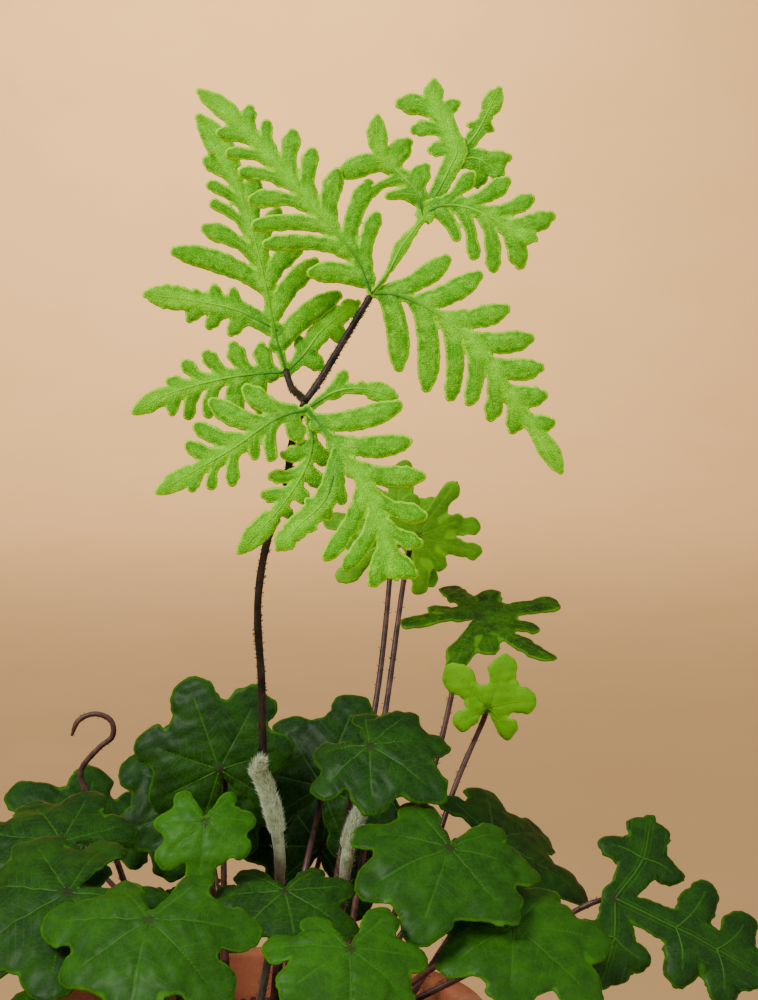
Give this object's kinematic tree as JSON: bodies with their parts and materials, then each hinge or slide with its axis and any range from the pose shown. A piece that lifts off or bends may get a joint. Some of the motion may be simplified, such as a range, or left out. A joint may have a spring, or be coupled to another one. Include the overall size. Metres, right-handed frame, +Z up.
{
  "type": "potted antenna fern",
  "caption": "Small fern in a plain round clay pot: one tall finely cut frond above a low clump of broad lobed leaves.",
  "frame": {"origin": "middle of the pot's flat base, on the surface it stands on", "axes": "+Z up along the pot's axis, +X to the plant's right as seen from the front, +Y to its back"},
  "size_m": [0.2439, 0.2148, 0.3789],
  "materials": {
    "clay": "unglazed fired clay, matt",
    "soil": "damp peat and bark crumbs",
    "stipe": "black, wiry, with fine scales",
    "stalk": "purple-brown, smooth",
    "frond": "bright green, veined",
    "leaf": "dark green, slightly glossy",
    "young": "pale silvery-green wool"
  },
  "bodies": {
    "root": {"pot": "clay", "soil": "soil", "tall_frond_stipe": "stipe", "tall_frond_blade_near": "frond", "tall_frond_blade_middle": "frond", "tall_frond_blade_far": "frond", "leaf_top_left_stalk": "stalk", "leaf_top_left_blade": "leaf", "leaf_top_back_stalk": "stalk", "leaf_top_back_blade": "leaf", "leaf_top_right_stalk": "stalk", "leaf_top_right_blade": "leaf", "leaf_left_back_stalk": "stalk", "leaf_left_back_blade": "leaf", "leaf_left_front_stalk": "stalk", "leaf_left_front_blade": "leaf", "leaf_front_small_stalk": "stalk", "leaf_front_small_blade": "leaf", "leaf_front_left_stalk": "stalk", "leaf_front_left_blade": "leaf", "leaf_front_middle_stalk": "stalk", "leaf_front_middle_blade": "leaf", "leaf_front_right_stalk": "stalk", "leaf_front_right_blade": "leaf", "leaf_right_back_stalk": "stalk", "leaf_right_back_blade": "leaf", "leaf_right_low_stalk": "stalk", "leaf_right_low_blade": "leaf", "leaf_back_right_stalk": "stalk", "leaf_back_right_blade": "leaf", "leaf_back_middle_stalk": "stalk", "leaf_back_middle_blade": "leaf", "leaf_back_left_stalk": "stalk", "leaf_back_left_blade": "leaf", "leaf_low_left_stalk": "stalk", "leaf_low_left_blade": "leaf", "leaf_low_front_left_stalk": "stalk", "leaf_low_front_left_blade": "leaf", "leaf_low_front_stalk": "stalk", "leaf_low_front_blade": "leaf", "leaf_low_back_right_stalk": "stalk", "leaf_low_back_right_blade": "leaf", "leaf_low_back_left_stalk": "stalk", "leaf_low_back_left_blade": "leaf", "leaf_inner_stalk": "stalk", "leaf_inner_blade": "leaf", "leaf_far_right_stalk": "stalk", "leaf_far_right_blade": "leaf", "rear_frond_tall_stalk": "stalk", "rear_frond_tall_blade": "frond", "rear_frond_shaded_stalk": "stalk", "rear_frond_shaded_blade": "frond", "rear_frond_flat_stalk": "stalk", "rear_frond_flat_blade": "frond", "rear_frond_bright_stalk": "stalk", "rear_frond_bright_blade": "frond", "crozier_thin": "stalk", "crozier_woolly": "young", "crozier_woolly_leaning": "young"}
  },
  "joints": []
}
